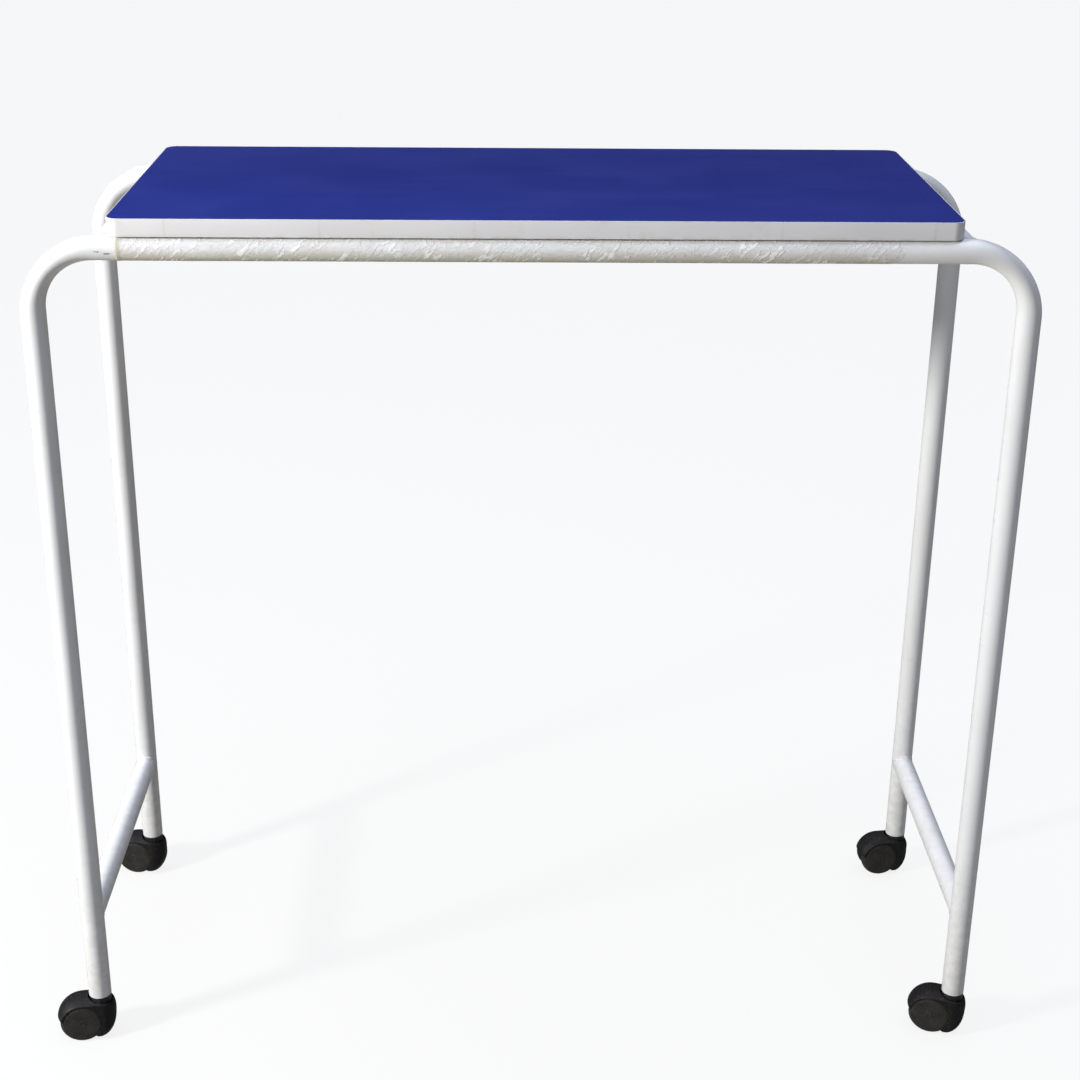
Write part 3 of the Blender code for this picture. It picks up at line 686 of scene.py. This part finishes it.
def build_film(material):
    """The creased sleeve of packing film, open where the board rests on the rail."""
    columns = 760
    rows = 46
    opening = math.radians(27)
    inner = TUBE_RADIUS + 0.12 * MM
    length = FILM_HIGH.x - FILM_LOW.x
    work = bmesh.new()
    grid = []
    for i in range(columns + 1):
        along = i / columns
        column = []
        for j in range(rows + 1):
            around = opening + (2 * math.pi - 2 * opening) * j / rows
            ragged = 2.2 * MM * noise.noise(Vector((around * 2.5, along * 3, 4.0)))
            end_pull = max(0.0, 1 - 40 * min(along, 1 - along))
            x = FILM_LOW.x + length * along
            x += end_pull * (abs(ragged) if along < 0.5 else -abs(ragged))
            x = min(max(x, FILM_LOW.x), FILM_HIGH.x)
            slant = x * 170 + around * 2.1
            patch = 0.10 + 1.5 * noise.noise(Vector((x * 14, around * 0.4, 9.0)))
            ridge = 1 - abs(noise.noise(Vector((slant, around * 0.9 + x * 30, 0.0))) * 2)
            fine = 1 - abs(noise.noise(Vector((x * 420 + around * 4, around * 2.2, 7.0))) * 2)
            crease = 0.22 * max(ridge, 0) ** 4 + 0.06 * max(fine, 0) ** 3
            height = min(max(0.0, patch), 1.0) * crease * MM
            flare = 0.5 * MM * max(0.0, 1 - along * columns / 5) if along < 0.5 else 0.0
            radius = inner + height + flare
            y = FRONT_LINE - radius * math.sin(around)
            z = RAIL_HEIGHT + radius * math.cos(around)
            column.append(work.verts.new((x, y, z)))
        grid.append(column)
    for column, following in zip(grid, grid[1:]):
        for j in range(rows):
            work.faces.new((column[j], column[j + 1], following[j + 1], following[j]))
    bmesh.ops.recalc_face_normals(work, faces=work.faces)
    obj = new_piece("creased_film", work, material, smooth_angle=70)
    wall = obj.modifiers.new("wall", "SOLIDIFY")
    wall.thickness = 0.06 * MM
    wall.offset = 0
    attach(obj, "root")
    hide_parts("front_rail_film")


# ---------------------------------------------------------------- castors


def hood_radius(angle):
    """The hood's outline as a smooth radius about the axle; the angle is in degrees."""
    first = HOOD_OUTLINE[0]
    before_last, last = HOOD_OUTLINE[-2:]
    if angle > last[0]:
        angle -= 360
    knots = [(before_last[0] - 360, before_last[1]), (last[0] - 360, last[1]), *HOOD_OUTLINE]
    knots.append((first[0] + 360, first[1]))
    for before, low, high, after in zip(knots, knots[1:], knots[2:], knots[3:]):
        if low[0] <= angle <= high[0]:
            span = high[0] - low[0]
            share = (angle - low[0]) / span
            start_slope = (high[1] - before[1]) / (high[0] - before[0]) * span
            end_slope = (after[1] - low[1]) / (after[0] - low[0]) * span
            rise = high[1] - low[1]
            square = 3 * rise - 2 * start_slope - end_slope
            cube = start_slope + end_slope - 2 * rise
            return (low[1] + share * (start_slope + share * (square + share * cube))) * MM
    return last[1] * MM


def hood_blank():
    """The hood's outline carried across its width, shrinking towards the sides like a barrel."""
    steps = 120
    sections = 20
    rings = []
    for section in range(sections + 1):
        across = 2 * section / sections - 1
        scale = 1 - HOOD_CROWN * abs(across) ** HOOD_CROWN_POWER
        ring = []
        for step in range(steps):
            angle = 360 * step / steps
            radius = scale * hood_radius(angle)
            x = radius * math.cos(math.radians(angle)) - WHEEL_TRAIL
            z = radius * math.sin(math.radians(angle)) + WHEEL_RADIUS
            ring.append((x, across * HOOD_HALF_WIDTH, z))
        rings.append(ring)
    work = bmesh.new()
    made = skin(work, rings)
    work.faces.new(made[0])
    work.faces.new(made[-1])
    bmesh.ops.recalc_face_normals(work, faces=work.faces)
    return new_piece("hood_blank", work, None)


def hood_plan():
    """The hood's plan outline as an upright prism: round about the stem, straight along the wheels."""
    outline = [(-CUTTER_REACH, -HOOD_NOSE_RADIUS), (-CUTTER_REACH, HOOD_NOSE_RADIUS)]
    steps = 64
    for step in range(steps + 1):
        angle = math.pi / 2 - math.pi * step / steps
        outline.append((HOOD_NOSE_RADIUS * math.cos(angle), HOOD_NOSE_RADIUS * math.sin(angle)))
    work = bmesh.new()
    made = skin(work, [[(x, y, z) for x, y in outline] for z in (-CUTTER_REACH, CUTTER_REACH)])
    work.faces.new(made[0])
    work.faces.new(made[-1])
    bmesh.ops.recalc_face_normals(work, faces=work.faces)
    return new_piece("hood_plan", work, None)


def hood_lip():
    """A block below the slanting line of the hood's lower edge."""
    along = (HOOD_FRONT_LIP - HOOD_REAR_LIP).normalized()
    slope = math.atan2(-along.z, along.x)
    down = Vector((-math.sin(slope), 0, -math.cos(slope)))
    work = bmesh.new()
    bmesh.ops.create_cube(work, size=2 * CUTTER_REACH)
    middle = (HOOD_REAR_LIP + HOOD_FRONT_LIP) / 2 + down * CUTTER_REACH
    work.transform(Matrix.Translation(middle) @ Matrix.Rotation(slope, 4, "Y"))
    return new_piece("hood_lip", work, None)


def spun(work, profile, steps):
    """Spins (radius, height) points about Z."""
    edge = [work.verts.new((radius, 0, height)) for radius, height in profile]
    lines = [work.edges.new(pair) for pair in zip(edge, edge[1:])]
    bmesh.ops.spin(
        work,
        geom=[*edge, *lines],
        axis=(0, 0, 1),
        cent=(0, 0, 0),
        steps=steps,
        angle=2 * math.pi,
        use_merge=True,
    )
    bmesh.ops.remove_doubles(work, verts=work.verts, dist=0.001 * MM)
    bmesh.ops.recalc_face_normals(work, faces=work.faces)


def wheel_cavity(name, turn_out):
    """The space of one wheel and the clearance round it, open to the side."""
    bore = WHEEL_SHOULDER[0][0] * MM + WHEEL_CLEARANCE
    profile = [(0, CUTTER_REACH), (bore, CUTTER_REACH)]
    profile += [(radius * MM + WHEEL_CLEARANCE, across * MM) for radius, across in WHEEL_SHOULDER]
    profile += [(WHEEL_RADIUS + WHEEL_CLEARANCE, HOOD_WEB_HALF_WIDTH), (0, HOOD_WEB_HALF_WIDTH)]
    work = bmesh.new()
    spun(work, profile, 120)
    work.transform(Matrix.Translation(AXLE_PLACE) @ Matrix.Rotation(turn_out, 4, "X"))
    return new_piece(name, work, None)


def hood_mesh(material):
    """One smooth hood in the castor's frame, shared by the four castors."""
    half_reach = Vector((0, 0, CUTTER_REACH / 2))
    pocket_centre = Vector((0, 0, POCKET_FLOOR)) + half_reach
    bore_centre = Vector((0, 0, STEM_BORE_BOTTOM)) + half_reach
    web_width = 2 * HOOD_WEB_HALF_WIDTH - 0.2 * MM
    steps = [
        (hood_plan(), "INTERSECT"),
        (wheel_cavity("front_cavity", math.pi / 2), "DIFFERENCE"),
        (wheel_cavity("rear_cavity", -math.pi / 2), "DIFFERENCE"),
        (hood_lip(), "DIFFERENCE"),
        (cylinder("web", HOOD_WEB_RADIUS, web_width, AXLE_PLACE, "Y", 96), "UNION"),
        (cylinder("pocket", POCKET_RADIUS, CUTTER_REACH, pocket_centre), "DIFFERENCE"),
        (cylinder("bore", STEM_BORE_RADIUS, CUTTER_REACH, bore_centre), "DIFFERENCE"),
        (cylinder("axle_bore", HOOD_AXLE_BORE, CUTTER_REACH, AXLE_PLACE, "Y", 48), "DIFFERENCE"),
    ]
    blank = hood_blank()
    for cutter, operation in steps:
        boolean(blank, cutter, operation)
    remesh = blank.modifiers.new("even_mesh", "REMESH")
    remesh.mode = "VOXEL"
    remesh.voxel_size = 0.4 * MM
    soften = blank.modifiers.new("soften", "SMOOTH")
    soften.iterations = 5
    soften.factor = 0.5
    thin = blank.modifiers.new("thin_out", "DECIMATE")
    thin.ratio = 0.4
    apply_and_drop(blank, [cutter for cutter, _ in steps])
    mesh = blank.data
    bpy.data.objects.remove(blank, do_unlink=True)
    mesh.name = "castor_hood_smooth"
    mesh.materials.clear()
    mesh.materials.append(material)
    mesh.shade_smooth()
    return mesh


def wheel_mesh(material):
    """One wheel, turned about Z with its outer face up, shared by all the wheels."""
    face = WHEEL_OUTER_FACE
    inner = WHEEL_INNER_FACE
    profile = [
        (0.0, face - 0.25 * MM),
        (2.4 * MM, face - 0.25 * MM),
        (3.2 * MM, face - 0.1 * MM),
        (4.2 * MM, face),
        (4.6 * MM, face - 0.12 * MM),
        (5.0 * MM, face - 0.35 * MM),
    ]
    dome_start = 5.2 * MM
    dome_end = 19.6 * MM
    for step in range(9):
        share = step / 8
        radius = dome_start + (dome_end - dome_start) * share
        profile.append((radius, face - (0.35 + 0.35 * share**2) * MM))
    profile += [
        (19.9 * MM, face - 0.95 * MM),
        (20.3 * MM, face - 1.05 * MM),
        (20.7 * MM, face - 0.95 * MM),
    ]
    profile += [(radius * MM, across * MM) for radius, across in WHEEL_SHOULDER]
    profile += [
        (WHEEL_RADIUS - 0.3 * MM, inner + 0.4 * MM),
        (WHEEL_RADIUS - 1.1 * MM, inner),
        (20.5 * MM, inner),
        (20.0 * MM, inner + 0.6 * MM),
        (20.0 * MM, inner + 4 * MM),
        (7.0 * MM, inner + 4 * MM),
        (6.4 * MM, inner),
        (WHEEL_AXLE_BORE, inner),
        (WHEEL_AXLE_BORE, face - 2.2 * MM),
        (0.0, face - 2.2 * MM),
    ]
    work = bmesh.new()
    spun(work, profile, 96)
    obj = new_piece("wheel_blank", work, material, smooth_angle=28)
    mesh = obj.data
    bpy.data.objects.remove(obj, do_unlink=True)
    return mesh


def build_castors():
    """Hoods and wheels placed by the joints' own axes, so that they turn about them."""
    joints = {joint["name"]: joint for joint in frame["joints"]}
    glossy = (0.54, 0.68)
    worn = (0.50, 0.64)
    hood_tones = ((0.0045, 0.0045, 0.0055), (0.009, 0.0085, 0.0095))
    wheel_tones = ((0.018, 0.017, 0.0155), (0.035, 0.0335, 0.030))
    hood_nylon = black_nylon("castor_hood_nylon", *hood_tones, 1500, 0.25, glossy)
    wheel_nylon = black_nylon("castor_wheel_nylon", *wheel_tones, 1100, 0.30, worn)
    hood = hood_mesh(hood_nylon)
    wheel = wheel_mesh(wheel_nylon)
    for corner in ("front_left", "front_right", "rear_left", "rear_right"):
        swivel = Vector(joints[f"{corner}_swivel"]["pos_m"])
        roll = joints[f"{corner}_front_wheel_roll"]
        across = Vector(roll["axis"]).normalized()
        up = Vector((0, 0, 1))
        turn = Matrix((across.cross(up), across, up)).transposed().to_4x4()
        placed = Matrix.Translation((swivel.x, swivel.y, 0)) @ turn
        obj = bpy.data.objects.new(f"{corner}_hood_smooth", hood)
        bpy.context.scene.collection.objects.link(obj)
        obj.matrix_world = placed
        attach(obj, f"{corner}_swivel_fork")
        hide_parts(f"{corner}_castor_hood")
        for side, out in (("front", math.pi / 2), ("rear", -math.pi / 2)):
            disc = bpy.data.objects.new(f"{corner}_{side}_wheel_smooth", wheel)
            bpy.context.scene.collection.objects.link(disc)
            disc.matrix_world = placed @ Matrix.Translation(AXLE_PLACE) @ Matrix.Rotation(out, 4, "X")
            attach(disc, f"{corner}_{side}_wheel")
            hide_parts(f"{corner}_castor_{side}_wheel")


def finish_hidden_pieces():
    """Better materials for the CAD pieces that stay: screws, stems, washers, inserts and axles."""
    steel = zinc_steel()
    tones = ((0.014, 0.014, 0.015), (0.028, 0.028, 0.028))
    nylon = black_nylon("insert_nylon", *tones, 1300, 0.2, (0.40, 0.55))
    for name, obj in frame["nodes"].items():
        if name.endswith(("_screw", "_stem", "_axle")):
            material = steel
        elif name.endswith(("_washer", "_insert")):
            material = nylon
        else:
            continue
        obj.data.materials.clear()
        obj.data.materials.append(material)


# ---------------------------------------------------------------- stage


def build_backdrop():
    """A pale floor that curves up into walls. Only the camera sees it, so it doesn't light the object."""
    rings = []
    for radius, height in [(0.5, 0), (4, 0), (FLOOR_RADIUS, 0)]:
        rings.append([(x, y, height) for x, y in circle(radius, WALL_SIDES)])
    for step in range(1, COVE_STEPS + 1):
        angle = math.pi / 2 * step / COVE_STEPS
        radius = FLOOR_RADIUS + COVE_RADIUS * math.sin(angle)
        height = COVE_RADIUS * (1 - math.cos(angle))
        rings.append([(x, y, height) for x, y in circle(radius, WALL_SIDES)])
    rings.append([(x, y, WALL_HEIGHT) for x, y in circle(FLOOR_RADIUS + COVE_RADIUS, WALL_SIDES)])
    work = bmesh.new()
    made = skin(work, rings)
    work.faces.new(made[0])
    bmesh.ops.recalc_face_normals(work, faces=work.faces)
    finish = Finish("pale_backdrop", Roughness=1.0)
    finish.shader.inputs["Base Color"].default_value = (0.10, 0.10, 0.10, 1)
    finish.shader.inputs["Emission Color"].default_value = (1, 1, 1, 1)
    finish.shader.inputs["Emission Strength"].default_value = 0.85
    finish.shader.inputs["Specular IOR Level"].default_value = 0
    obj = new_piece("studio_backdrop", work, finish.material)
    obj.visible_diffuse = False
    obj.visible_glossy = False


def build_light(name, place, target, size, power, colour):
    lamp = bpy.data.lights.new(name, "AREA")
    lamp.shape = "DISK"
    lamp.size = size
    lamp.energy = power
    lamp.color = colour
    obj = bpy.data.objects.new(name, lamp)
    bpy.context.scene.collection.objects.link(obj)
    obj.location = place
    obj.rotation_euler = (Vector(target) - Vector(place)).to_track_quat("-Z", "Y").to_euler()


def build_sky():
    """Cool dim light from above and a warmer, stronger bounce from below."""
    world = bpy.data.worlds.new("studio_world")
    world.use_nodes = True
    tree = world.node_tree
    direction = tree.nodes.new("ShaderNodeTexCoord").outputs["Generated"]
    split = tree.nodes.new("ShaderNodeSeparateXYZ")
    tree.links.new(direction, split.inputs[0])
    ramp = tree.nodes.new("ShaderNodeValToRGB")
    stops = ramp.color_ramp.elements
    while len(stops) < len(SKY_BANDS):
        stops.new(0.5)
    for stop, (height, colour) in zip(stops, SKY_BANDS):
        stop.position = (height + 1) / 2
        stop.color = colour
    height = tree.nodes.new("ShaderNodeMapRange")
    height.inputs["From Min"].default_value = -1
    tree.links.new(split.outputs["Z"], height.inputs["Value"])
    tree.links.new(height.outputs[0], ramp.inputs["Fac"])
    tree.links.new(ramp.outputs["Color"], tree.nodes["Background"].inputs["Color"])
    bpy.context.scene.world = world


def build_studio():
    build_backdrop()
    build_light("key_light", KEY_PLACE, (0, 0, 0.6), KEY_SIZE, KEY_POWER, (1.0, 0.985, 0.955))
    build_light("fill_light", FILL_PLACE, (0, 0, 0.6), FILL_SIZE, FILL_POWER, (0.93, 0.95, 1.0))
    build_sky()
    bpy.context.scene.view_settings.view_transform = "Standard"


def build_camera():
    level = Vector((math.sin(CAMERA_YAW), math.cos(CAMERA_YAW), 0))
    forward = math.cos(CAMERA_PITCH) * level - Vector((0, 0, math.sin(CAMERA_PITCH)))
    right = Vector((math.cos(CAMERA_YAW), -math.sin(CAMERA_YAW), 0))
    up = right.cross(forward)
    tilted = math.cos(CAMERA_ROLL) * right + math.sin(CAMERA_ROLL) * up
    above = math.cos(CAMERA_ROLL) * up - math.sin(CAMERA_ROLL) * right
    lens = bpy.data.cameras.new("photo_camera")
    lens.sensor_width = 36
    lens.lens = CAMERA_LENS
    obj = bpy.data.objects.new("photo_camera", lens)
    bpy.context.scene.collection.objects.link(obj)
    turn = Matrix((tilted, above, -forward)).transposed().to_4x4()
    obj.matrix_world = Matrix.Translation(CAMERA_PLACE) @ turn
    bpy.context.scene.camera = obj


build_camera()
build_studio()
build_structure(powder_coat("white_powder_coat"), powder_coat("white_powder_coat_chipped", SCUFFS))
build_board()
build_film(packing_film())
build_castors()
finish_hidden_pieces()
